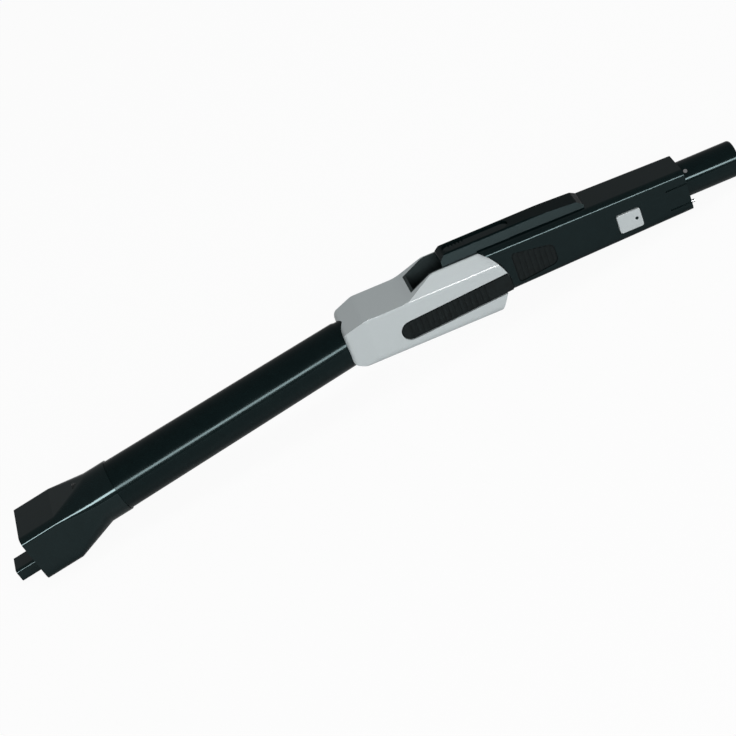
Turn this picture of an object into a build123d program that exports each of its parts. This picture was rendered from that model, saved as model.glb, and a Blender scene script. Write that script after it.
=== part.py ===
from build123d import *
import math
import os

# Folding vacuum wand: a tapered lower tube with a floor-head collar, a pale knuckle that
# carries the fold hinge, and an upper handle with an air spigot.
# Working frame: X runs along the handle towards the spigot, Z is up, and the handle axis
# and the tube axis cross at the origin. Every length is in millimetres.

# Tube and the fixed crank between tube and handle
CRANK_DEG = 10.5
TUBE_TOP_REACH = 82.0
TUBE_LOW_REACH = 386.0
TUBE_TOP_DIAMETER = 40.3
TUBE_LOW_DIAMETER = 43.6
TUBE_WALL = 1.8

# Floor-head collar at the lower end
COLLAR_SEAM_REACH = 352.0
COLLAR_LENGTH = 21.0
COLLAR_DIAMETER = 49.5
FLARE_LENGTH = 37.0
SKIRT_LENGTH = 36.0
SKIRT_WIDTH = 60.0
SKIRT_HEIGHT = 49.0
SKIRT_DROP = 4.4
SKIRT_CORNER = 7.0
SOCKET_RADIUS = 15.0
SOCKET_RISE = 3.5
KEYWAY_WIDTH = 6.0
KEYWAY_DEPTH = 3.5
KEYWAY_LENGTH = 42.0

# Electric plug under the air socket
PLUG_WIDTH = 24.0
PLUG_HEIGHT = 13.0
PLUG_STICK_OUT = 24.0
PLUG_SEAT_DEPTH = 20.0
PLUG_FLOOR = 2.4
PLUG_CORNER = 3.0
PLUG_PIN_RADIUS = 1.6
PLUG_PIN_SPACING = 10.0
PLUG_PIN_LENGTH = 9.0
PLUG_CUP_DEPTH = 12.0
PLUG_CUP_WALL = 2.2

# Knuckle
KNUCKLE_WIDTH = 52.0
KNUCKLE_NOSE_X = -114.0
KNUCKLE_FACE_X = -93.0
KNUCKLE_NOSE_WIDTH = 46.0
KNUCKLE_BOTTOM = -39.5
KNUCKLE_SADDLE = 6.0
KNUCKLE_SHOULDER = 5.0
KNUCKLE_TOP = 19.5
SADDLE_END_X = -52.0
ARM_RISE_X = -24.0
ARM_LOW_TIP_X = 23.0
LINER_WALL = 1.6
ARM_TOP_WALL = 1.5
NOSE_CHAMFER = 7.0

# Fold hinge
HINGE_X = -4.0
HINGE_Z = -16.0
HUB_RADIUS = 18.5
TONGUE_WIDTH = 28.0
ARM_RADIUS = 43.2
SCOOP_RADIUS = 47.0
HINGE_PIN_RADIUS = 4.0
FOLD_GAP = 0.8
SIDE_GAP = 0.4
PIN_GAP = 0.05

# Ribbed side inlays of the knuckle
INLAY_LEFT_X = -66.0
INLAY_TILT_DEG = 4.0
INLAY_HEIGHT = 18.5
INLAY_DEPTH = 3.4
INLAY_PLATE = 1.7
INLAY_RIB_COUNT = 15
INLAY_RIB_HEIGHT = 1.2

# Handle
HANDLE_DROP = 2.3
HANDLE_END_X = 211.0
HANDLE_START_X = 18.0
HANDLE_START_SIZE = 46.2
HANDLE_END_SIZE = 40.2
HANDLE_CORNER = 6.0
HANDLE_WALL = 2.5
HANDLE_MOUTH_X = 52.0
DUCT_SLOT_WIDTH = 22.8
DUCT_SLOT_LOW = -20.0
DUCT_SLOT_HIGH = 11.6

# Spigot and inner pipe
SPIGOT_RADIUS = 16.0
SPIGOT_LENGTH = 52.0
SPIGOT_BORE_RADIUS = 12.5
PIPE_RADIUS = 14.0
PIPE_START_X = 64.0
SPIGOT_RIM = 3.0
SPIGOT_SEAT = 8.0
SPIGOT_SHOULDER = 0.4

# Flexible duct across the fold
HOSE_START_REACH = 62.0
HOSE_RADIUS = 11.0
HOSE_WALL = 1.2
HOSE_PITCH = 6.0
HOSE_WAVE = 1.4
CUFF_WALL = 1.6
CUFF_LENGTH = 7.0

# Lever housing and release lever on top
HOUSING_LEFT_X = -12.0
HOUSING_RIGHT_X = 121.0
HOUSING_BASE = 19.0
HOUSING_TOP = 28.0
HOUSING_BASE_WIDTH = 26.0
HOUSING_TOP_WIDTH = 19.0
LEVER_SLOT_WIDTH = 14.4
LEVER_SLOT_LEFT_X = -6.5
LEVER_SLOT_RIGHT_X = 55.0
LEVER_SLOT_FLOOR = 20.4
LEVER_TOP = 26.4
LEVER_THICKNESS = 3.0
LEVER_PIVOT_X = 47.0
LEVER_PIN_RADIUS = 1.0

# Side button
BUTTON_X = 154.0
BUTTON_Z = -5.8
BUTTON_LENGTH = 22.0
BUTTON_HEIGHT = 18.0
BUTTON_PROUD = 1.6
BUTTON_FLANGE = 1.5

# Handle grips, rear slits, terminals and fasteners
GRIP_LEFT_X = 46.0
GRIP_RIGHT_X = 84.0
GRIP_RIB_COUNT = 8
GRIP_DEPTH = 2.0
GRIP_PLATE = 1.0
GRIP_RIB_WIDTH = 2.4
SLIT_LENGTH = 20.0
SLIT_HEIGHT = 1.6
SLIT_DEPTH = 1.2
TERMINAL_RADIUS = 1.4
TERMINAL_LENGTH = 5.0
SCREW_PLACES = (100.0, 190.0)
SCREW_HEAD_RADIUS = 2.6
SCREW_HEAD_HEIGHT = 1.6
SCREW_SINK = 0.5
SCREW_SHANK_RADIUS = 1.3
SCREW_LENGTH = 26.0
BOSS_RADIUS = 2.7
STUD_RADIUS = 1.8
STUD_HEIGHT = 1.4
STUD_SINK = 0.15
FIT_GAP = 0.1

# Sizes that follow from the ones above
HINGE = (HINGE_X, HINGE_Z)
CAVITY_HALF = TONGUE_WIDTH / 2 + SIDE_GAP
LINER_HALF = CAVITY_HALF + LINER_WALL
SKIRT_END_REACH = COLLAR_SEAM_REACH + COLLAR_LENGTH + FLARE_LENGTH + SKIRT_LENGTH
SPIGOT_END_X = HANDLE_END_X + SPIGOT_LENGTH
ARM_TIP_X = HINGE_X + ARM_RADIUS
SEAT_RADIUS = SPIGOT_RADIUS - SPIGOT_SHOULDER
FAR = 400.0

# The tube frame: X still points towards the handle, and reaches are counted from the crossing
TUBE_FRAME = Rot(0, -CRANK_DEG, 0)


def rod(radius, x_min, x_max):
    """A cylinder along X."""
    return Pos((x_min + x_max) / 2, 0, 0) * Rot(0, 90, 0) * Cylinder(radius, x_max - x_min)


def pipe(radius, wall, x_min, x_max):
    """A straight tube along X."""
    return rod(radius, x_min, x_max) - rod(radius - wall, x_min, x_max)


def cross_rod(radius, y_min, y_max, x, z):
    """A cylinder along Y."""
    return Pos(x, (y_min + y_max) / 2, z) * Rot(90, 0, 0) * Cylinder(radius, y_max - y_min)


def block(x_min, x_max, y_min, y_max, z_min, z_max):
    """A box given by its limits."""
    centre = Pos((x_min + x_max) / 2, (y_min + y_max) / 2, (z_min + z_max) / 2)
    return centre * Box(x_max - x_min, y_max - y_min, z_max - z_min)


def side_prism(sketch, y_min, y_max):
    """A side-view outline, drawn in X and Z, made solid along Y."""
    return Pos(0, y_max, 0) * extrude(Plane.XZ * sketch, amount=y_max - y_min)


def end_prism(sketch, x_min, x_max):
    """An end-view outline, drawn in Y and Z, made solid along X."""
    return Pos(x_min, 0, 0) * extrude(Plane.YZ * sketch, amount=x_max - x_min)


def plan_prism(sketch, z_min, z_max):
    """A top-view outline made solid along Z."""
    return Pos(0, 0, z_min) * extrude(sketch, amount=z_max - z_min)


def outline(corners):
    """A closed outline from (x, y, radius) corners; a zero radius stays sharp."""
    face = make_face(Polyline(*[(x, y) for x, y, _ in corners], close=True))
    for x, y, radius in corners:
        if radius > 0:
            face = fillet(face.vertices().sort_by_distance((x, y, 0))[0], radius)
    return face


def end_section(x, width, height, corner, z=0.0):
    """A rounded rectangle across X at a place along it."""
    plane = Plane(origin=(x, 0, z), x_dir=(0, 1, 0), z_dir=(1, 0, 0))
    return plane * RectangleRounded(width, height, corner)


def circle_section(x, radius):
    """A round section across X."""
    return Plane(origin=(x, 0, 0), x_dir=(0, 1, 0), z_dir=(1, 0, 0)) * Circle(radius)


def tube_radius(reach):
    """The lower tube's outer radius at a reach from the crossing."""
    share = (reach - TUBE_TOP_REACH) / (TUBE_LOW_REACH - TUBE_TOP_REACH)
    return (TUBE_TOP_DIAMETER + share * (TUBE_LOW_DIAMETER - TUBE_TOP_DIAMETER)) / 2


def handle_half(x):
    """Half the handle's square section at a place along it."""
    share = (x - HANDLE_START_X) / (HANDLE_END_X - HANDLE_START_X)
    return (HANDLE_START_SIZE + share * (HANDLE_END_SIZE - HANDLE_START_SIZE)) / 2


def cone(reach_low, reach_high, grow=0.0):
    """The lower tube's outside between two reaches, grown all round."""
    low = circle_section(-reach_low, tube_radius(reach_low) + grow)
    high = circle_section(-reach_high, tube_radius(reach_high) + grow)
    return loft([low, high])


def lower_tube():
    outer = cone(TUBE_LOW_REACH, TUBE_TOP_REACH)
    return TUBE_FRAME * (outer - cone(TUBE_LOW_REACH, TUBE_TOP_REACH, -TUBE_WALL))


def plug_body(stick_out, grow=0.0):
    """The plug's outline, from the foot of its seat to its tip, in the tube frame."""
    z = plug_height()
    start = -SKIRT_END_REACH - stick_out
    end = -SKIRT_END_REACH + PLUG_SEAT_DEPTH
    section = Pos(0, z) * RectangleRounded(PLUG_WIDTH + 2 * grow, PLUG_HEIGHT + 2 * grow, PLUG_CORNER)
    return end_prism(section, start, end)


def plug_height():
    """The plug's mid height, in the tube frame."""
    return -SKIRT_DROP - SKIRT_HEIGHT / 2 + PLUG_FLOOR + PLUG_HEIGHT / 2


def floor_head_collar():
    flare_x = -COLLAR_SEAM_REACH - COLLAR_LENGTH
    skirt_x = flare_x - FLARE_LENGTH
    end_x = skirt_x - SKIRT_LENGTH
    ring = rod(COLLAR_DIAMETER / 2, flare_x, -COLLAR_SEAM_REACH)
    near_round = COLLAR_DIAMETER / 2 - FIT_GAP
    flare = loft([
        end_section(flare_x, COLLAR_DIAMETER, COLLAR_DIAMETER, near_round),
        end_section(skirt_x, SKIRT_WIDTH, SKIRT_HEIGHT, SKIRT_CORNER, -SKIRT_DROP),
    ])
    skirt_section = Pos(0, -SKIRT_DROP) * RectangleRounded(SKIRT_WIDTH, SKIRT_HEIGHT, SKIRT_CORNER)
    skirt = end_prism(skirt_section, end_x, skirt_x)
    solid = ring + flare + skirt
    solid -= cone(TUBE_LOW_REACH, COLLAR_SEAM_REACH - 1, FIT_GAP)
    solid -= Pos(0, 0, SOCKET_RISE) * rod(SOCKET_RADIUS, end_x - 1, -TUBE_LOW_REACH + 1)
    solid -= plug_body(PLUG_STICK_OUT, FIT_GAP)
    top = SKIRT_HEIGHT / 2 - SKIRT_DROP
    for side in (-1, 1):
        edge = side * SKIRT_WIDTH / 2
        keyway = Pos(end_x, edge, top) * Rot(45 * side, 0, 0)
        solid -= keyway * Box(2 * KEYWAY_LENGTH, KEYWAY_WIDTH, 2 * KEYWAY_DEPTH + 2)
    return TUBE_FRAME * solid


def head_plug():
    solid = plug_body(PLUG_STICK_OUT)
    tip = -SKIRT_END_REACH - PLUG_STICK_OUT
    cup = Pos(0, plug_height()) * RectangleRounded(
        PLUG_WIDTH - 2 * PLUG_CUP_WALL, PLUG_HEIGHT - 2 * PLUG_CUP_WALL, PLUG_CORNER / 2)
    solid -= end_prism(cup, tip - 1, tip + PLUG_CUP_DEPTH)
    for side in (-1, 1):
        hole = rod(PLUG_PIN_RADIUS + FIT_GAP, tip, tip + PLUG_CUP_DEPTH + PLUG_PIN_LENGTH / 2)
        solid -= Pos(0, side * PLUG_PIN_SPACING / 2, plug_height()) * hole
    return TUBE_FRAME * solid


def plug_pins():
    back = -SKIRT_END_REACH - PLUG_STICK_OUT + PLUG_CUP_DEPTH + PLUG_PIN_LENGTH / 2
    pins = []
    for side in (-1, 1):
        pin = rod(PLUG_PIN_RADIUS, back - PLUG_PIN_LENGTH, back)
        pins.append(TUBE_FRAME * Pos(0, side * PLUG_PIN_SPACING / 2, plug_height()) * pin)
    return Compound(children=pins)


def knuckle_body():
    """The knuckle's outside, where its end, side and top views meet."""
    half = KNUCKLE_WIDTH / 2
    ridge = LINER_HALF + ARM_TOP_WALL
    end_view = outline([
        (-half, KNUCKLE_BOTTOM, 8), (half, KNUCKLE_BOTTOM, 8),
        (half, KNUCKLE_SHOULDER, 7), (ridge, KNUCKLE_TOP, 1.2),
        (-ridge, KNUCKLE_TOP, 1.2), (-half, KNUCKLE_SHOULDER, 7)])
    side_view = outline([
        (KNUCKLE_NOSE_X, KNUCKLE_BOTTOM + NOSE_CHAMFER, 6), (KNUCKLE_FACE_X - 6, KNUCKLE_BOTTOM, 12),
        (ARM_LOW_TIP_X, KNUCKLE_BOTTOM, 4), (ARM_TIP_X, HINGE_Z + 4, 6),
        (ARM_TIP_X, KNUCKLE_TOP, 0), (ARM_RISE_X, KNUCKLE_TOP, 14),
        (SADDLE_END_X, KNUCKLE_SADDLE, 26), (KNUCKLE_FACE_X, KNUCKLE_SADDLE, 14),
        (KNUCKLE_NOSE_X, KNUCKLE_SADDLE - NOSE_CHAMFER, 6)])
    nose = KNUCKLE_NOSE_WIDTH / 2
    plan_view = outline([
        (KNUCKLE_NOSE_X, -nose, 5), (KNUCKLE_FACE_X, -half, 16), (ARM_TIP_X, -half, 0),
        (ARM_TIP_X, half, 0), (KNUCKLE_FACE_X, half, 16), (KNUCKLE_NOSE_X, nose, 5)])
    tip_view = Pos(*HINGE) * Circle(ARM_RADIUS)
    tip_view += Pos(HINGE_X - FAR / 2, HINGE_Z) * Rectangle(FAR, FAR)
    body = end_prism(end_view, KNUCKLE_NOSE_X, ARM_TIP_X)
    body &= side_prism(side_view, -half, half)
    body &= plan_prism(plan_view, KNUCKLE_BOTTOM, KNUCKLE_TOP)
    return body & side_prism(tip_view, -half, half)


def fold_room(grow, half):
    """The space that the tongue and the lever housing turn in."""
    upper = Pos(*HINGE) * Circle(SCOOP_RADIUS + grow)
    upper &= Pos(HINGE_X - FAR / 2, HINGE_Z - 12 - grow + FAR / 2) * Rectangle(FAR, FAR)
    hub = Pos(*HINGE) * Circle(HUB_RADIUS + 1 + grow)
    floor = HINGE_Z - HUB_RADIUS - 1 - grow
    right = Pos(HINGE_X + FAR / 2, floor + FAR / 2) * Rectangle(FAR, FAR)
    return side_prism(upper + hub + right, -half, half)


def hose_frame():
    """The flexible duct's own line, with X from its lower end to its upper end."""
    angle = math.radians(CRANK_DEG)
    start = (-HOSE_START_REACH * math.cos(angle), -HOSE_START_REACH * math.sin(angle))
    end = (PIPE_START_X - CUFF_LENGTH, 0.0)
    run = math.hypot(end[0] - start[0], end[1] - start[1])
    rise = math.degrees(math.atan2(end[1] - start[1], end[0] - start[0]))
    return Pos(start[0], 0, start[1]) * Rot(0, -rise, 0), run


def inlay_outline(grow=0.0):
    """The side inlay's outline: a rounded left end, open at the arm's tip."""
    height = INLAY_HEIGHT + 2 * grow
    left = Circle(height / 2)
    bar = Pos(FAR / 4, 0) * Rectangle(FAR / 2, height)
    centre = Pos(INLAY_LEFT_X + INLAY_HEIGHT / 2, HINGE_Z - 4) * Rot(0, 0, INLAY_TILT_DEG)
    return centre * (left + bar)


def knuckle_shell():
    body = knuckle_body() - fold_room(LINER_WALL, LINER_HALF)
    body -= TUBE_FRAME * cone(FAR, TUBE_TOP_REACH, FIT_GAP)
    frame, _ = hose_frame()
    body -= TUBE_FRAME * rod(HOSE_RADIUS + CUFF_WALL + FIT_GAP, -TUBE_TOP_REACH - 1, -HOSE_START_REACH)
    body -= frame * rod(HOSE_RADIUS + CUFF_WALL + FIT_GAP, -CUFF_LENGTH, HOSE_START_REACH)
    half = KNUCKLE_WIDTH / 2
    for side in (-1, 1):
        limits = sorted((side * (half - INLAY_DEPTH), side * (half + 1)))
        body -= side_prism(inlay_outline(FIT_GAP), *limits)
        ends = sorted((side * CAVITY_HALF, side * half))
        body -= cross_rod(HINGE_PIN_RADIUS + PIN_GAP, *ends, *HINGE)
    return body


def knuckle_liner():
    room = fold_room(LINER_WALL, LINER_HALF) - fold_room(0, CAVITY_HALF)
    liner = room & knuckle_body()
    frame, _ = hose_frame()
    liner -= frame * rod(HOSE_RADIUS + CUFF_WALL + FIT_GAP, -CUFF_LENGTH, HOSE_START_REACH)
    return liner - cross_rod(HINGE_PIN_RADIUS + PIN_GAP, -FAR, FAR, *HINGE)


def side_inlay(side):
    half = KNUCKLE_WIDTH / 2
    floor = half - INLAY_DEPTH
    plate = side_prism(inlay_outline(), *sorted((side * floor, side * (floor + INLAY_PLATE))))
    top = floor + INLAY_PLATE + INLAY_RIB_HEIGHT
    ribs = side_prism(inlay_outline(-1.2), *sorted((side * floor, side * top)))
    first = INLAY_LEFT_X + 6
    last = ARM_LOW_TIP_X - 6
    pitch = (last - first) / INLAY_RIB_COUNT
    for index in range(INLAY_RIB_COUNT):
        x = first + (index + 0.5) * pitch
        groove = sorted((side * (floor + INLAY_PLATE), side * (half + 1)))
        ribs -= block(x - pitch / 4, x + pitch / 4, *groove, -FAR, FAR)
    tip = side_prism(Pos(*HINGE) * Circle(ARM_RADIUS - FIT_GAP), -FAR, FAR)
    reach = tip + block(-FAR, HINGE_X, -FAR, FAR, -FAR, FAR)
    return (plate + ribs) & reach


def hinge_pin(side):
    inner = DUCT_SLOT_WIDTH / 2 + 0.2
    outer = KNUCKLE_WIDTH / 2 - INLAY_DEPTH
    return cross_rod(HINGE_PIN_RADIUS, *sorted((side * inner, side * outer)), *HINGE)


def lower_cuff():
    frame, _ = hose_frame()
    ring = pipe(HOSE_RADIUS + CUFF_WALL, CUFF_WALL + HOSE_WALL, -CUFF_LENGTH, 0)
    return frame * ring


def upper_cuff():
    wall = PIPE_RADIUS - HOSE_RADIUS + HOSE_WALL
    return pipe(PIPE_RADIUS, wall, PIPE_START_X - CUFF_LENGTH + 1, PIPE_START_X)


def duct_hose():
    """The flexible duct: a bellows of equal waves turned about its own line."""
    frame, run = hose_frame()
    waves = int(run // HOSE_PITCH)
    pitch = (run - 0.6) / waves
    points = [(0.3, HOSE_RADIUS)]
    for index in range(waves):
        points.append((0.3 + (index + 0.5) * pitch, HOSE_RADIUS - HOSE_WAVE))
        points.append((0.3 + (index + 1) * pitch, HOSE_RADIUS))
    inside = [(x, radius - HOSE_WALL) for x, radius in reversed(points)]
    profile = make_face(Polyline(*points, *inside, close=True))
    return frame * revolve(Plane.XZ * profile, Axis.X)


def tongue_view():
    """The tongue's side view: the hub, and the arm that runs back into the handle."""
    hub = Pos(*HINGE) * Circle(HUB_RADIUS)
    under = -HANDLE_DROP - handle_half(HANDLE_MOUTH_X)
    arm = outline([
        (HINGE_X, HINGE_Z - HUB_RADIUS, 0), (HINGE_X + 14, HINGE_Z - HUB_RADIUS, 6),
        (HANDLE_MOUTH_X - 8, under, 8), (HANDLE_MOUTH_X, under, 0), (HANDLE_MOUTH_X, HOUSING_BASE, 0),
        (HOUSING_LEFT_X, HOUSING_BASE, 2), (HOUSING_LEFT_X, DUCT_SLOT_HIGH + 3, 2),
        (HINGE_X, DUCT_SLOT_HIGH, 0)])
    return hub + arm


def hinge_tongue():
    half = TONGUE_WIDTH / 2
    solid = side_prism(tongue_view(), -half, half)
    slot = DUCT_SLOT_WIDTH / 2
    solid -= block(-FAR, FAR, -slot, slot, DUCT_SLOT_LOW, DUCT_SLOT_HIGH)
    return solid - cross_rod(HINGE_PIN_RADIUS + PIN_GAP, -FAR, FAR, *HINGE)


def handle_form(inset, x_min, x_max):
    """The handle's tapering square body between two places, inset all round."""
    sections = []
    for x in (x_min, x_max):
        size = 2 * (handle_half(x) - inset)
        sections.append(end_section(x, size, size, HANDLE_CORNER - inset / 2, -HANDLE_DROP))
    return loft(sections)


def handle_shell(side):
    solid = handle_form(0, HANDLE_START_X, HANDLE_END_X)
    solid -= handle_form(HANDLE_WALL, HANDLE_MOUTH_X, HANDLE_END_X - HANDLE_WALL - 1)
    for x in SCREW_PLACES:
        inner = handle_half(x) - HANDLE_WALL / 2
        solid += cross_rod(BOSS_RADIUS, -inner, inner, x, boss_height())
        solid -= screw_place(x) * screw_room()
    half = TONGUE_WIDTH / 2
    solid -= block(-FAR, HANDLE_MOUTH_X, -half, half, -FAR, FAR)
    solid -= side_prism(Pos(*HINGE) * Circle(ARM_RADIUS + FOLD_GAP), -FAR, FAR)
    solid -= rod(SEAT_RADIUS + FIT_GAP, PIPE_START_X, HANDLE_END_X + 1)
    solid -= housing_form()
    solid -= grip_room(side)
    for z in (6.0, -13.0):
        depth = handle_half(HANDLE_END_X) - SLIT_DEPTH
        limits = sorted((side * depth, side * FAR))
        solid -= block(HANDLE_END_X - SLIT_LENGTH, HANDLE_END_X + 1, *limits,
                       z - SLIT_HEIGHT / 2, z + SLIT_HEIGHT / 2)
    if side < 0:
        window = Pos(BUTTON_X, BUTTON_Z) * RectangleRounded(
            BUTTON_LENGTH + 2 * SIDE_GAP, BUTTON_HEIGHT + 2 * SIDE_GAP, 2.5)
        solid -= side_prism(window, -FAR, 0)
    for place in terminal_places():
        solid -= Pos(0, *place) * rod(TERMINAL_RADIUS + FIT_GAP, HANDLE_END_X - 4, HANDLE_END_X + 1)
    keep = block(-FAR, FAR, *sorted((0, side * FAR)), -FAR, FAR)
    return solid & keep


def grip_view(inset=0.0):
    """The ribbed pad's outline on the handle's side."""
    low = -HANDLE_DROP - 17.5 + inset
    high = -HANDLE_DROP + 12.5 - inset
    return outline([
        (GRIP_LEFT_X + inset, low, 3), (GRIP_RIGHT_X - inset, low + 4, 6),
        (GRIP_RIGHT_X - inset, high - 7, 6), (GRIP_LEFT_X + inset, high, 3)])


def grip_room(side):
    floor = handle_half(GRIP_RIGHT_X) - GRIP_DEPTH
    return side_prism(grip_view(-FIT_GAP), *sorted((side * floor, side * FAR)))


def handle_grip(side):
    floor = handle_half(GRIP_RIGHT_X) - GRIP_DEPTH
    pad = side_prism(grip_view(), *sorted((side * floor, side * (floor + GRIP_PLATE))))
    ribs = side_prism(grip_view(1.0), *sorted((side * floor, side * (floor + GRIP_DEPTH))))
    pitch = (GRIP_RIGHT_X - GRIP_LEFT_X) / GRIP_RIB_COUNT
    for index in range(GRIP_RIB_COUNT + 1):
        x = GRIP_LEFT_X + index * pitch
        gap = pitch - GRIP_RIB_WIDTH
        limits = sorted((side * (floor + GRIP_PLATE), side * FAR))
        ribs -= block(x - gap / 2, x + gap / 2, *limits, -FAR, FAR)
    return pad + ribs


def air_spigot():
    seat_x = HANDLE_END_X - SPIGOT_SEAT
    outer = rod(SPIGOT_RADIUS, HANDLE_END_X, SPIGOT_END_X)
    rim = outer.edges().filter_by(GeomType.CIRCLE).sort_by(Axis.X)[-1]
    solid = fillet(rim, SPIGOT_RIM) + rod(SEAT_RADIUS, seat_x, HANDLE_END_X)
    solid += rod(PIPE_RADIUS, PIPE_START_X, seat_x)
    solid -= rod(SPIGOT_BORE_RADIUS, PIPE_START_X - 1, SPIGOT_END_X + 1)
    return solid - stud_room()


def stud_place():
    """The detent stud sits on the spigot's near shoulder, just outside the handle."""
    return Pos(HANDLE_END_X + 4, 0, 0) * Rot(40, 0, 0)


def stud_room():
    room = Cylinder(STUD_RADIUS + FIT_GAP, 2 * (STUD_HEIGHT + STUD_SINK))
    return stud_place() * Pos(0, 0, SPIGOT_RADIUS) * room


def detent_stud():
    """A small bright stud, let in just under the spigot's surface."""
    return stud_place() * Pos(0, 0, SPIGOT_RADIUS - STUD_SINK - STUD_HEIGHT / 2) * Cylinder(
        STUD_RADIUS, STUD_HEIGHT)


def housing_form():
    """The raised housing's outside, from side view and end view."""
    side_view = outline([
        (HOUSING_LEFT_X, HOUSING_BASE, 0), (HOUSING_RIGHT_X, HOUSING_BASE, 0),
        (HOUSING_RIGHT_X, HOUSING_BASE + 3, 1.2), (HOUSING_RIGHT_X - 5, HOUSING_TOP - 2.5, 3),
        (LEVER_SLOT_RIGHT_X + 20, HOUSING_TOP, 30), (HOUSING_LEFT_X + 5, HOUSING_TOP, 5),
        (HOUSING_LEFT_X, HOUSING_BASE + 4, 3)])
    base = HOUSING_BASE_WIDTH / 2
    top = HOUSING_TOP_WIDTH / 2
    end_view = outline([
        (-base, HOUSING_BASE, 0), (base, HOUSING_BASE, 0),
        (top, HOUSING_TOP, 2), (-top, HOUSING_TOP, 2)])
    form = side_prism(side_view, -base, base)
    return form & end_prism(end_view, HOUSING_LEFT_X, HOUSING_RIGHT_X)


def lever_view(grow):
    """The release lever's top view: a long bar with round ends."""
    length = LEVER_SLOT_RIGHT_X - LEVER_SLOT_LEFT_X
    middle = (LEVER_SLOT_RIGHT_X + LEVER_SLOT_LEFT_X) / 2
    width = LEVER_SLOT_WIDTH + 2 * grow
    return Pos(middle, 0) * RectangleRounded(length + 2 * grow, width, width / 2 - FIT_GAP)


def lever_pin_height():
    return LEVER_TOP - LEVER_THICKNESS / 2


def lever_housing():
    solid = housing_form() - plan_prism(lever_view(0), LEVER_SLOT_FLOOR, FAR)
    half = lever_pin_half()
    return solid - cross_rod(LEVER_PIN_RADIUS + PIN_GAP, -half, half, LEVER_PIVOT_X, lever_pin_height())


def lever_pin_half():
    """Half the lever pin's length: it is set into both walls of the slot."""
    return LEVER_SLOT_WIDTH / 2 + 1.4


def lever_pin():
    half = lever_pin_half()
    return cross_rod(LEVER_PIN_RADIUS, -half, half, LEVER_PIVOT_X, lever_pin_height())


def release_lever():
    bar = plan_prism(lever_view(-SIDE_GAP), LEVER_TOP - LEVER_THICKNESS, LEVER_TOP)
    pad_start = LEVER_SLOT_LEFT_X + 6
    for index in range(5):
        x = pad_start + index * 3.2
        bar -= block(x, x + 1.4, -FAR, FAR, LEVER_TOP - 0.6, LEVER_TOP + 1)
    return bar - cross_rod(LEVER_PIN_RADIUS + PIN_GAP, -FAR, FAR, LEVER_PIVOT_X, lever_pin_height())


def side_button():
    face = -handle_half(BUTTON_X) - BUTTON_PROUD
    inner_wall = -handle_half(BUTTON_X + BUTTON_LENGTH) + HANDLE_WALL
    back = inner_wall + SIDE_GAP + 1.0
    cap = side_prism(Pos(BUTTON_X, BUTTON_Z) * RectangleRounded(BUTTON_LENGTH, BUTTON_HEIGHT, 2.2), face, back)
    front = cap.edges().group_by(Axis.Y)[0]
    cap = fillet(front, 0.9)
    flange = Pos(BUTTON_X, BUTTON_Z) * RectangleRounded(
        BUTTON_LENGTH + 2 * BUTTON_FLANGE, BUTTON_HEIGHT + 2 * BUTTON_FLANGE, 2.5)
    return cap + side_prism(flange, back - 1.0, back)


def screw():
    """A pan-head screw: its head is sunk a little below the origin, its shank points down."""
    head = Pos(0, 0, -SCREW_SINK - SCREW_HEAD_HEIGHT / 2) * Cylinder(SCREW_HEAD_RADIUS, SCREW_HEAD_HEIGHT)
    shank_top = -SCREW_SINK - SCREW_HEAD_HEIGHT
    return head + Pos(0, 0, shank_top - SCREW_LENGTH / 2) * Cylinder(SCREW_SHANK_RADIUS, SCREW_LENGTH)


def screw_room():
    """The hole that takes such a screw, open at the top."""
    depth = SCREW_SINK + SCREW_HEAD_HEIGHT
    head = Cylinder(SCREW_HEAD_RADIUS + FIT_GAP, 2 * depth)
    length = SCREW_LENGTH + 1
    return head + Pos(0, 0, -depth - length / 2) * Cylinder(SCREW_SHANK_RADIUS + FIT_GAP, length)


def boss_height():
    """The screw bosses lie between the inner pipe and the handle's floor."""
    return -PIPE_RADIUS - BOSS_RADIUS - SIDE_GAP


def screw_place(x):
    """A screw's place in the far shell, with its shank pointing to the near shell."""
    return Pos(x, handle_half(x), boss_height()) * Rot(-90, 0, 0)


def handle_screws():
    return Compound(children=[screw_place(x) * screw() for x in SCREW_PLACES])


def terminal_places():
    low = -HANDLE_DROP - handle_half(HANDLE_END_X)
    return ((-9.0, low + 3.4), (9.0, low + 3.4))


def terminal_pins():
    pins = []
    for place in terminal_places():
        pins.append(Pos(0, *place) * rod(TERMINAL_RADIUS, HANDLE_END_X - 4, HANDLE_END_X + TERMINAL_LENGTH))
    return Compound(children=pins)


def rest_turn():
    """The pitch at which the skirt's lower edge and the spigot's rim both meet the floor."""
    angle = math.radians(CRANK_DEG)
    deep = SKIRT_DROP + SKIRT_HEIGHT / 2
    skirt_x = -SKIRT_END_REACH * math.cos(angle) + deep * math.sin(angle)
    skirt_z = -SKIRT_END_REACH * math.sin(angle) - deep * math.cos(angle)
    rim_x = SPIGOT_END_X - SPIGOT_RIM
    pitch = math.atan2(-SPIGOT_RADIUS - skirt_z, rim_x - skirt_x)
    return Rot(0, math.degrees(pitch), 0)


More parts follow.
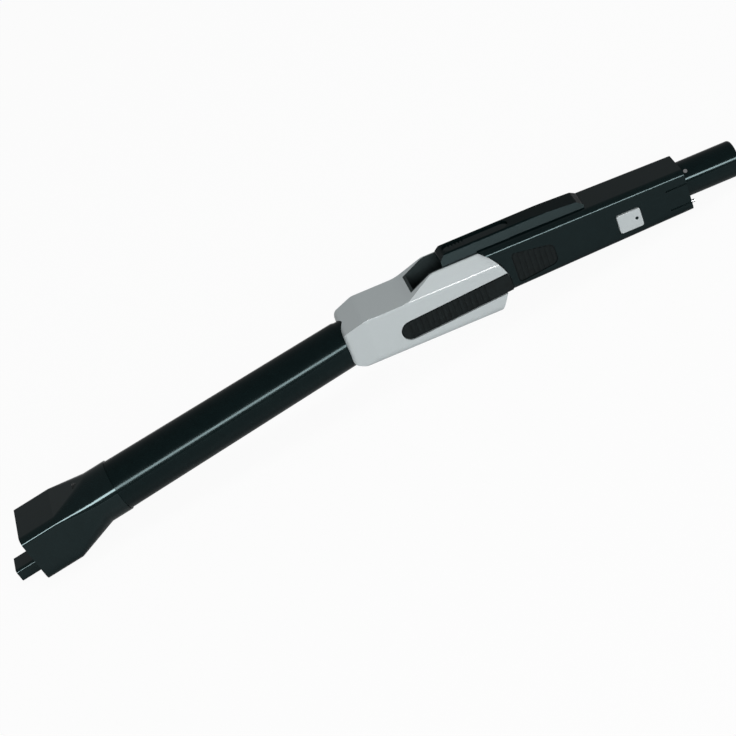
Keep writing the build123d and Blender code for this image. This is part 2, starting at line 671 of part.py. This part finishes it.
def build():
    nodes = {
        "lower_tube": lower_tube(),
        "floor_head_collar": floor_head_collar(),
        "head_plug": head_plug(),
        "plug_pins": plug_pins(),
        "knuckle_shell": knuckle_shell(),
        "knuckle_liner": knuckle_liner(),
        "side_inlay_near": side_inlay(-1),
        "side_inlay_far": side_inlay(1),
        "hinge_pin_near": hinge_pin(-1),
        "hinge_pin_far": hinge_pin(1),
        "hose_cuff_lower": lower_cuff(),
        "duct_hose": duct_hose(),
        "hinge_tongue": hinge_tongue(),
        "handle_shell_near": handle_shell(-1),
        "handle_shell_far": handle_shell(1),
        "handle_grip_near": handle_grip(-1),
        "handle_grip_far": handle_grip(1),
        "hose_cuff_upper": upper_cuff(),
        "air_spigot": air_spigot(),
        "detent_stud": detent_stud(),
        "terminal_pins": terminal_pins(),
        "handle_screws": handle_screws(),
        "lever_housing": lever_housing(),
        "lever_pin": lever_pin(),
        "release_lever": release_lever(),
        "side_button": side_button(),
    }
    turn = rest_turn()
    turned = {name: turn * solid for name, solid in nodes.items()}
    boxes = [solid.bounding_box() for solid in turned.values()]
    low_x = min(box.min.X for box in boxes)
    high_x = max(box.max.X for box in boxes)
    low_z = min(box.min.Z for box in boxes)
    place = Pos(-(low_x + high_x) / 2, 0, -low_z)
    return {name: place * solid for name, solid in turned.items()}


os.makedirs("parts", exist_ok=True)
for node_name, node_solid in build().items():
    export_step(node_solid, f"parts/{node_name}.step")
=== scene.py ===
"""Looks of a folding vacuum wand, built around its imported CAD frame."""

import math

import bmesh
import bpy
from bpy.props import FloatProperty, FloatVectorProperty, IntProperty, PointerProperty
from mathutils import Matrix, Vector


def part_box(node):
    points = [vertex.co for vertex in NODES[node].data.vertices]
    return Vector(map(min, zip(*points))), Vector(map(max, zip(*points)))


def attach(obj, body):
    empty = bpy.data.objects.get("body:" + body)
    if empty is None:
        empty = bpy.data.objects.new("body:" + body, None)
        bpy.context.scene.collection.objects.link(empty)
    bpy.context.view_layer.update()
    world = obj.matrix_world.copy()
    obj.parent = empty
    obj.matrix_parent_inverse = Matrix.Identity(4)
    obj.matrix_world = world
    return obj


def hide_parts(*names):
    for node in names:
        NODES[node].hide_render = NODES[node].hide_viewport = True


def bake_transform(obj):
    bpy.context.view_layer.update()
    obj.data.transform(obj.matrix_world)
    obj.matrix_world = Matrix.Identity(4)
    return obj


bl_info = {
    "name": "Folding vacuum wand",
    "version": (1, 0, 0),
    "blender": (4, 5, 0),
    "location": "3D View > Sidebar > Wand",
    "description": "Finishes, flexible duct and studio for a folding vacuum wand",
    "category": "Object",
}

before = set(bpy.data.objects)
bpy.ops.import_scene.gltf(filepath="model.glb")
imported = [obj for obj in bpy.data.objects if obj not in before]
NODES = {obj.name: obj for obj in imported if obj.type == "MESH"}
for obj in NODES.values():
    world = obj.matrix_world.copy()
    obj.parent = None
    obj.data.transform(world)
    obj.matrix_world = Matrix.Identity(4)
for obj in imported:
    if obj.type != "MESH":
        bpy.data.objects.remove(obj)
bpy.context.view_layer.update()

# The handle's own line: where it meets the tube's line, and how far it dips towards the spigot
CROSSING = Vector((0.103189, 0.0, 0.050705))
HANDLE_DIP = math.radians(7.697)
HANDLE_PLACE = Matrix.Translation(CROSSING) @ Matrix.Rotation(HANDLE_DIP, 4, "Y")

# The tube's line slopes away from the handle's line by this crank
CRANK = math.radians(10.5)

# The tube's outside, as reach from the crossing and radius, and its wall, in millimetres
TUBE_PROFILE = ((82.4, 20.1), (115.0, 20.4), (118.0, 21.35), (352.0, 23.7), (385.6, 23.7))
TUBE_WALL = 1.8
TUBE_SIDES = 96

# The flexible duct's ends, along and above the handle's line, and its wall, in millimetres
DUCT_LOW = (-60.96, -11.30)
DUCT_HIGH = (57.0, 0.0)
DUCT_WALL = 0.9
DUCT_SIDES = 40
POINTS_PER_RING = 8

# The button's mark: its place along and above the handle's line, and its size, in millimetres
MARK_PLACE = (160.2, -5.4)
MARK_RADIUS = 1.7
MARK_TIP_RADIUS = 0.8 * MARK_RADIUS
MARK_HEIGHT = 0.35
MARK_SIDES = 24

# The black plastic's reflections lean towards green and blue
COOL_SHEEN = (0.72, 0.97, 1.0)

# The floor, in metres, and the share of plain white in what the camera sees of it
FLOOR_RADIUS = 9
FLOOR_SIDES = 64
FLOOR_GREY = (0.9, 0.9, 0.9)
WHITE_SHARE = 0.94

# Where the lights stand, seen from the wand; the strip takes a share of the camera's rise
STRIP_RISE = 0.6
FILL_SIDE = Vector((0.1, -1, 0.3))
TOP_SIDE = Vector((0.1, 0.3, 1))


def on_handle(x, y, z):
    """A point given in millimetres along, across and above the handle's line."""
    return HANDLE_PLACE @ Vector((x / 1000, y / 1000, z / 1000))


class Wire:
    """A shader socket that a number can scale."""

    def __init__(self, finish, socket):
        self.finish = finish
        self.socket = socket

    def __rmul__(self, factor):
        return self.finish.add("ShaderNodeMath", {"operation": "MULTIPLY"}, {0: self, 1: factor})


class Finish:
    """One procedural material, with its nodes."""

    def __init__(self, name):
        self.material = bpy.data.materials.new(name)
        self.material.use_nodes = True
        self.tree = self.material.node_tree
        self.shader = self.tree.nodes["Principled BSDF"]

    def add(self, kind, settings, inputs, output=0):
        """A node of that kind, its settings first, then its sockets' values or links."""
        node = self.tree.nodes.new(kind)
        for name, value in settings.items():
            setattr(node, name, value)
        for name, value in inputs.items():
            self.feed(node.inputs[name], value)
        return Wire(self, node.outputs[output])

    def feed(self, socket, value):
        """A link or a value for one socket; a colour socket's value gets its alpha."""
        if isinstance(value, Wire):
            self.tree.links.new(value.socket, socket)
        elif hasattr(socket.default_value, "__len__") and len(socket.default_value) == 4:
            socket.default_value = (*value, 1)
        else:
            socket.default_value = value

    def set(self, **inputs):
        """Values or links for the shader's own sockets; underscores stand for spaces."""
        for name, value in inputs.items():
            self.feed(self.shader.inputs[name.replace("_", " ")], value)

    def place(self):
        """The place on the object."""
        return self.add("ShaderNodeTexCoord", {}, {}, "Object")

    def noise(self, scale, detail=2.0):
        """A noise value over the object, with that many changes to the metre."""
        return self.add("ShaderNodeTexNoise", {}, {"Vector": self.place(), "Scale": scale, "Detail": detail})

    def spread(self, value, low, high):
        """A noise value taken to a range of its own."""
        ranges = {"From Min": 0.3, "From Max": 0.7, "To Min": low, "To Max": high}
        return self.add("ShaderNodeMapRange", {}, {"Value": value, **ranges})

    def mix(self, share, first, second):
        """Two colours mixed; 0, 6, 7 and 2 are the mix node's factor, colours and colour output."""
        return self.add("ShaderNodeMix", {"data_type": "RGBA"}, {0: share, 6: first, 7: second}, 2)

    def bump(self, height, depth_mm):
        """A relief of that depth from a height value."""
        return self.add("ShaderNodeBump", {}, {
            "Height": height, "Strength": 1.0, "Distance": depth_mm / 1000})


def moulded_plastic(name, colour, roughness, gloss, grain_mm, grain_depth_mm):
    """Moulded plastic: a fine surface grain, soft changes of sheen and a trace of handling marks."""
    finish = Finish(name)
    grain = finish.noise(scale=1000 / grain_mm)
    sheen = finish.noise(scale=45, detail=4)
    marks = finish.noise(scale=160, detail=6)
    paler = tuple(min(1, 1.5 * channel + 0.0006) for channel in colour)
    finish.set(
        Base_Color=finish.mix(finish.spread(marks, 0, 0.5), colour, paler),
        Roughness=finish.spread(sheen, 0.85 * roughness, 1.15 * roughness),
        Specular_IOR_Level=gloss,
        Specular_Tint=COOL_SHEEN,
        Normal=finish.bump(grain, grain_depth_mm))
    return finish.material


def satin_silver(name, colour):
    """Silver lacquer on plastic: a very fine metallic fleck under a satin coat."""
    finish = Finish(name)
    fleck = finish.noise(scale=5200, detail=1)
    cloud = finish.noise(scale=30, detail=3)
    darker = tuple(0.86 * channel for channel in colour)
    finish.set(
        Base_Color=finish.mix(finish.spread(fleck, 0, 0.7), colour, darker),
        Roughness=finish.spread(cloud, 0.40, 0.48),
        Specular_IOR_Level=0.2,
        Coat_Weight=0.7,
        Coat_Roughness=0.07,
        Normal=finish.bump(fleck, depth_mm=0.01))
    return finish.material


def soft_rubber(name, colour, grain_mm):
    """Matte rubber with a pebbled skin and a little dust in it."""
    finish = Finish(name)
    pebble = finish.add("ShaderNodeTexVoronoi", {"feature": "SMOOTH_F1"}, {
        "Vector": finish.place(), "Scale": 1000 / grain_mm})
    dust = finish.noise(scale=220, detail=5)
    dusty = tuple(2.0 * channel + 0.001 for channel in colour)
    finish.set(
        Base_Color=finish.mix(finish.spread(dust, 0, 0.6), colour, dusty),
        Roughness=finish.spread(dust, 0.5, 0.66),
        Specular_IOR_Level=0.16,
        Normal=finish.bump(pebble, depth_mm=0.05))
    return finish.material


def bright_steel(name, colour):
    """Plated steel with fine turning marks."""
    finish = Finish(name)
    marks = finish.noise(scale=2600, detail=3)
    darker = tuple(0.8 * channel for channel in colour)
    finish.set(
        Base_Color=finish.mix(finish.spread(marks, 0, 1), colour, darker),
        Metallic=1.0,
        Roughness=finish.spread(marks, 0.18, 0.32),
        Normal=finish.bump(marks, depth_mm=0.01))
    return finish.material


def dress(material, *names):
    """Gives CAD nodes a finish in place of the plain one they came with."""
    for name in names:
        for slot in NODES[name].material_slots:
            slot.material = material


def spun(shape, points, sides):
    """Turns a line of (radius, height) points about Z into a skin with that many sides."""
    previous = None
    for radius, height in points:
        point = shape.verts.new((radius, 0, height))
        if previous:
            shape.edges.new((previous, point))
        previous = point
    bmesh.ops.spin(
        shape, geom=shape.verts[:] + shape.edges[:], cent=(0, 0, 0), axis=(0, 0, 1),
        angle=2 * math.pi, steps=sides, use_merge=True)


def hollow(piece, wall_mm):
    """Gives a skin a wall, inwards from its outside."""
    wall = piece.modifiers.new("Wall", "SOLIDIFY")
    wall.thickness = wall_mm / 1000
    wall.offset = -1


def finished_piece(name, shape, material, smooth=True):
    """A finished piece from a bmesh, with its place in its mesh."""
    bmesh.ops.recalc_face_normals(shape, faces=shape.faces)
    mesh = bpy.data.meshes.new(name)
    shape.to_mesh(mesh)
    shape.free()
    mesh.materials.append(material)
    if smooth:
        mesh.shade_smooth()
    else:
        mesh.shade_flat()
    piece = bpy.data.objects.new(name, mesh)
    bpy.context.scene.collection.objects.link(piece)
    return piece


class WandColours(bpy.types.PropertyGroup):
    """Colours of the wand's finishes."""

    black: FloatVectorProperty(
        name="Black", description="Black of the tube and casings", subtype="COLOR",
        default=(0.0015, 0.0048, 0.0052), min=0, max=1)
    rubber: FloatVectorProperty(
        name="Rubber", description="Black of the ribbed rubber", subtype="COLOR",
        default=(0.0016, 0.0042, 0.0045), min=0, max=1)
    liner: FloatVectorProperty(
        name="Liner", description="Dark grey inside the fold", subtype="COLOR",
        default=(0.018, 0.024, 0.0245), min=0, max=1)
    silver: FloatVectorProperty(
        name="Silver", description="Silver of the knuckle and the button", subtype="COLOR",
        default=(0.50, 0.55, 0.56), min=0, max=1)
    steel: FloatVectorProperty(
        name="Steel", description="Pins, screws and the stud", subtype="COLOR",
        default=(0.72, 0.73, 0.74), min=0, max=1)


class WandDuct(bpy.types.PropertyGroup):
    """Sizes of the flexible duct across the fold."""

    radius: FloatProperty(
        name="Radius", description="Outer radius over the rings", default=0.011, min=0.005, max=0.02,
        unit="LENGTH")
    wave: FloatProperty(
        name="Wave", description="How deep the folds between the rings are", default=0.0014, min=0,
        max=0.004, unit="LENGTH")
    rings: IntProperty(name="Rings", description="Number of rings", default=19, min=4, max=60)


class WandStudio(bpy.types.PropertyGroup):
    """Camera and light."""

    camera_place: FloatVectorProperty(
        name="Camera", description="Where the camera stands", subtype="TRANSLATION",
        default=(0.0763, -1.7342, 1.0434))
    camera_aim: FloatVectorProperty(
        name="Aim", description="The point in the middle of the picture", subtype="TRANSLATION",
        default=(-0.00495, -0.03391, 0.03203))
    camera_roll: FloatProperty(
        name="Roll", description="Turn of the camera about its line of sight", subtype="ANGLE",
        default=math.radians(-30.81))
    lens: FloatProperty(name="Lens", description="Focal length", default=112.1, min=20, max=300)
    strip_power: FloatProperty(
        name="Strip power", description="Power of the strip beside the camera", default=80.0, min=0,
        subtype="POWER")
    fill_power: FloatProperty(
        name="Fill power", description="Power of the soft light in front", default=50.0, min=0,
        subtype="POWER")
    top_power: FloatProperty(
        name="Top power", description="Power of the soft light above", default=15.0, min=0,
        subtype="POWER")
    world_level: FloatProperty(
        name="World level", description="Light from all round", default=0.22, min=0, max=1)


class WAND_OT_dress_lower(bpy.types.Operator):
    """Finish the floor-head collar and the plug"""

    bl_idname = "wand.dress_lower"
    bl_label = "Dress the lower wand"

    def execute(self, context):
        black = context.scene.wand_colours.black
        collar = moulded_plastic(
            "collar_gloss", black, roughness=0.09, gloss=0.4, grain_mm=1.6, grain_depth_mm=0.0002)
        plug = moulded_plastic(
            "plug_plastic", black, roughness=0.16, gloss=0.4, grain_mm=0.6, grain_depth_mm=0.0004)
        dress(collar, "floor_head_collar")
        dress(plug, "head_plug")
        return {"FINISHED"}


class WAND_OT_tube(bpy.types.Operator):
    """Model the lower tube with its full taper between the knuckle and the collar"""

    bl_idname = "wand.tube"
    bl_label = "Lower tube"

    def execute(self, context):
        shape = bmesh.new()
        spun(shape, [(radius / 1000, reach / 1000) for reach, radius in TUBE_PROFILE], TUBE_SIDES)
        turn = HANDLE_PLACE @ Matrix.Rotation(-CRANK, 4, "Y") @ Matrix.Rotation(-math.pi / 2, 4, "Y")
        bmesh.ops.transform(shape, matrix=turn, verts=shape.verts)
        lacquer = moulded_plastic(
            "tube_lacquer", context.scene.wand_colours.black, roughness=0.15, gloss=0.2, grain_mm=2.2,
            grain_depth_mm=0.0002)
        piece = finished_piece("tapered_tube", shape, lacquer)
        hollow(piece, TUBE_WALL)
        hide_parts("lower_tube")
        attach(piece, "lower_wand")
        return {"FINISHED"}


class WAND_OT_button_mark(bpy.types.Operator):
    """Model the small dark mark on the side button"""

    bl_idname = "wand.button_mark"
    bl_label = "Button mark"

    def execute(self, context):
        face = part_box("side_button")[0][1]
        shape = bmesh.new()
        bmesh.ops.create_cone(
            shape, cap_ends=True, segments=MARK_SIDES, radius1=MARK_RADIUS / 1000,
            radius2=MARK_TIP_RADIUS / 1000, depth=2 * MARK_HEIGHT / 1000)
        place = on_handle(MARK_PLACE[0], 0, MARK_PLACE[1])
        place.y = face
        turn = Matrix.Translation(place) @ Matrix.Rotation(math.pi / 2, 4, "X")
        bmesh.ops.transform(shape, matrix=turn, verts=shape.verts)
        black = moulded_plastic(
            "mark_plastic", context.scene.wand_colours.black, roughness=0.3, gloss=0.3, grain_mm=0.6,
            grain_depth_mm=0.0004)
        piece = finished_piece("button_mark", shape, black, smooth=False)
        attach(piece, "side_button")
        return {"FINISHED"}


class WAND_OT_dress_knuckle(bpy.types.Operator):
    """Finish the silver knuckle, its liner, the duct's cuffs and the ribbed inlays"""

    bl_idname = "wand.dress_knuckle"
    bl_label = "Dress the knuckle"

    def execute(self, context):
        colours = context.scene.wand_colours
        liner = moulded_plastic(
            "liner_plastic", colours.liner, roughness=0.45, gloss=0.35, grain_mm=0.5, grain_depth_mm=0.03)
        rubber = soft_rubber("inlay_rubber", colours.rubber, grain_mm=0.7)
        dress(satin_silver("knuckle_lacquer", colours.silver), "knuckle_shell")
        dress(liner, "knuckle_liner", "hose_cuff_lower", "hose_cuff_upper")
        dress(rubber, "side_inlay_near", "side_inlay_far")
        return {"FINISHED"}


class WAND_OT_dress_handle(bpy.types.Operator):
    """Finish the handle, its grips, lever, button and spigot"""

    bl_idname = "wand.dress_handle"
    bl_label = "Dress the handle"

    def execute(self, context):
        colours = context.scene.wand_colours
        casing = moulded_plastic(
            "handle_plastic", colours.black, roughness=0.16, gloss=0.3, grain_mm=0.9, grain_depth_mm=0.0002)
        housing = moulded_plastic(
            "housing_plastic", colours.black, roughness=0.24, gloss=0.08, grain_mm=0.9, grain_depth_mm=0.0004)
        spigot = moulded_plastic(
            "spigot_gloss", colours.black, roughness=0.12, gloss=0.25, grain_mm=1.8, grain_depth_mm=0.0002)
        rubber = soft_rubber("grip_rubber", colours.rubber, grain_mm=0.6)
        dress(casing, "handle_shell_near", "handle_shell_far", "hinge_tongue")
        dress(housing, "lever_housing")
        dress(spigot, "air_spigot", "release_lever")
        dress(rubber, "handle_grip_near", "handle_grip_far")
        dress(satin_silver("button_lacquer", colours.silver), "side_button")
        return {"FINISHED"}


class WAND_OT_dress_metal(bpy.types.Operator):
    """Finish the pins, screws, terminals and the stud"""

    bl_idname = "wand.dress_metal"
    bl_label = "Dress the metal parts"

    def execute(self, context):
        dress(bright_steel("plated_steel", context.scene.wand_colours.steel),
              "plug_pins", "hinge_pin_near", "hinge_pin_far", "detent_stud", "terminal_pins",
              "handle_screws", "lever_pin")
        return {"FINISHED"}


class WAND_OT_flexible_duct(bpy.types.Operator):
    """Model the ringed rubber duct that carries the air across the fold"""

    bl_idname = "wand.flexible_duct"
    bl_label = "Flexible duct"

    def execute(self, context):
        sizes = context.scene.wand_duct
        start = on_handle(DUCT_LOW[0], 0, DUCT_LOW[1])
        end = on_handle(DUCT_HIGH[0], 0, DUCT_HIGH[1])
        run = (end - start).length
        steps = POINTS_PER_RING * sizes.rings
        shares = [index / steps for index in range(steps + 1)]
        dips = [sizes.wave * (0.5 - 0.5 * math.cos(2 * math.pi * sizes.rings * share)) for share in shares]
        shape = bmesh.new()
        spun(shape, [(sizes.radius - dip, run * share) for share, dip in zip(shares, dips)], DUCT_SIDES)
        turn = (end - start).to_track_quat("Z", "Y").to_matrix().to_4x4()
        bmesh.ops.transform(shape, matrix=Matrix.Translation(start) @ turn, verts=shape.verts)
        rubber = soft_rubber("duct_rubber", context.scene.wand_colours.rubber, grain_mm=0.5)
        piece = finished_piece("flexible_duct", shape, rubber)
        hollow(piece, DUCT_WALL)
        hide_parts("duct_hose")
        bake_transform(piece)
        return {"FINISHED"}


class WAND_OT_studio(bpy.types.Operator):
    """Make the floor, the lights and the camera"""

    bl_idname = "wand.studio"
    bl_label = "Studio"

    def execute(self, context):
        self.floor()
        self.world(context.scene)
        camera = self.camera(context.scene)
        self.lights(context.scene, camera)
        context.scene.view_settings.view_transform = "Standard"
        return {"FINISHED"}

    def floor(self):
        """A pale floor that keeps a trace of shadow."""
        finish = Finish("floor_paper")
        finish.set(Base_Color=FLOOR_GREY, Roughness=0.9, Specular_IOR_Level=0.0)
        seen = finish.add("ShaderNodeLightPath", {}, {}, "Is Camera Ray")
        white = finish.add("ShaderNodeEmission", {}, {"Color": (1, 1, 1), "Strength": 1.0})
        shade = Wire(finish, finish.shader.outputs[0])
        shown = finish.add("ShaderNodeMixShader", {}, {0: WHITE_SHARE * seen, 1: shade, 2: white})
        finish.tree.links.new(shown.socket, finish.tree.nodes["Material Output"].inputs[0])
        shape = bmesh.new()
        bmesh.ops.create_circle(shape, cap_ends=True, segments=FLOOR_SIDES, radius=FLOOR_RADIUS)
        paper = finished_piece("floor", shape, finish.material)

    def world(self, scene):
        """White to the camera, and dimmer to all else."""
        world = bpy.data.worlds.new("studio")
        scene.world = world
        world.use_nodes = True
        tree = world.node_tree
        background = tree.nodes["Background"]
        seen = tree.nodes.new("ShaderNodeLightPath").outputs["Is Camera Ray"]
        level = tree.nodes.new("ShaderNodeMapRange")
        level.inputs["To Min"].default_value = scene.wand_studio.world_level
        tree.links.new(seen, level.inputs["Value"])
        tree.links.new(level.outputs[0], background.inputs["Strength"])
        background.inputs["Color"].default_value = (1, 1, 1, 1)

    def camera(self, scene):
        """The camera at its place, turned about its line of sight."""
        studio = scene.wand_studio
        data = bpy.data.cameras.new("camera")
        data.lens = studio.lens
        camera = bpy.data.objects.new("camera", data)
        scene.collection.objects.link(camera)
        place = Vector(studio.camera_place)
        sight = (Vector(studio.camera_aim) - place).to_track_quat("-Z", "Y").to_matrix().to_4x4()
        roll = Matrix.Rotation(studio.camera_roll, 4, "Z")
        camera.matrix_world = Matrix.Translation(place) @ sight @ roll
        scene.camera = camera
        return camera

    def lights(self, scene, camera):
        """A strip for the long highlights, and two soft lights that leave no highlight."""
        studio = scene.wand_studio
        aim = Vector(studio.camera_aim)
        back = (camera.location - aim).normalized()
        low = Vector((back.x, back.y, STRIP_RISE * back.z))
        strip = self.strip(
            "front_strip", aim, low, distance=2.4, width=0.36, length=3.2, power=studio.strip_power)
        strip.visible_diffuse = False
        fill = self.strip(
            "front_fill", aim, FILL_SIDE, distance=2.4, width=1.6, length=3.2,
            power=studio.fill_power)
        fill.visible_glossy = False
        top = self.strip(
            "top_softbox", aim, TOP_SIDE, distance=2.4, width=0.9, length=2.6,
            power=studio.top_power)
        top.visible_glossy = False

    def strip(self, name, aim, direction, distance, width, length, power):
        """A long area light that faces the wand, its length along the wand."""
        data = bpy.data.lights.new(name, "AREA")
        data.shape = "RECTANGLE"
        data.size = length
        data.size_y = width
        data.energy = power
        light = bpy.data.objects.new(name, data)
        bpy.context.scene.collection.objects.link(light)
        away = direction.normalized()
        along = Vector((1, 0, 0))
        across = away.cross(along).normalized()
        along = across.cross(away)
        turn = Matrix((along, across, away)).transposed().to_4x4()
        light.matrix_world = Matrix.Translation(aim + away * distance) @ turn
        return light


class WAND_PT_panel(bpy.types.Panel):
    """Lists the wand's sizes, colours and steps"""

    bl_idname = "WAND_PT_panel"
    bl_label = "Folding vacuum wand"
    bl_space_type = "VIEW_3D"
    bl_region_type = "UI"
    bl_category = "Wand"

    def draw(self, context):
        for group in (context.scene.wand_colours, context.scene.wand_duct, context.scene.wand_studio):
            box = self.layout.box()
            for name in group.__annotations__:
                box.prop(group, name)
        for step in STEPS:
            self.layout.operator(step.bl_idname)


GROUPS = (("wand_colours", WandColours), ("wand_duct", WandDuct), ("wand_studio", WandStudio))
STEPS = (WAND_OT_dress_lower, WAND_OT_tube, WAND_OT_dress_knuckle, WAND_OT_dress_handle,
         WAND_OT_button_mark, WAND_OT_dress_metal, WAND_OT_flexible_duct, WAND_OT_studio)


def register():
    for name, group in GROUPS:
        bpy.utils.register_class(group)
        setattr(bpy.types.Scene, name, PointerProperty(type=group))
    for step in (*STEPS, WAND_PT_panel):
        bpy.utils.register_class(step)


def unregister():
    for step in (WAND_PT_panel, *reversed(STEPS)):
        bpy.utils.unregister_class(step)
    for name, group in reversed(GROUPS):
        delattr(bpy.types.Scene, name)
        bpy.utils.unregister_class(group)


def main():
    register()
    bpy.ops.wand.dress_lower()
    bpy.ops.wand.tube()
    bpy.ops.wand.dress_knuckle()
    bpy.ops.wand.dress_handle()
    bpy.ops.wand.button_mark()
    bpy.ops.wand.dress_metal()
    bpy.ops.wand.flexible_duct()
    bpy.ops.wand.studio()


if __name__ == "__main__":
    main()
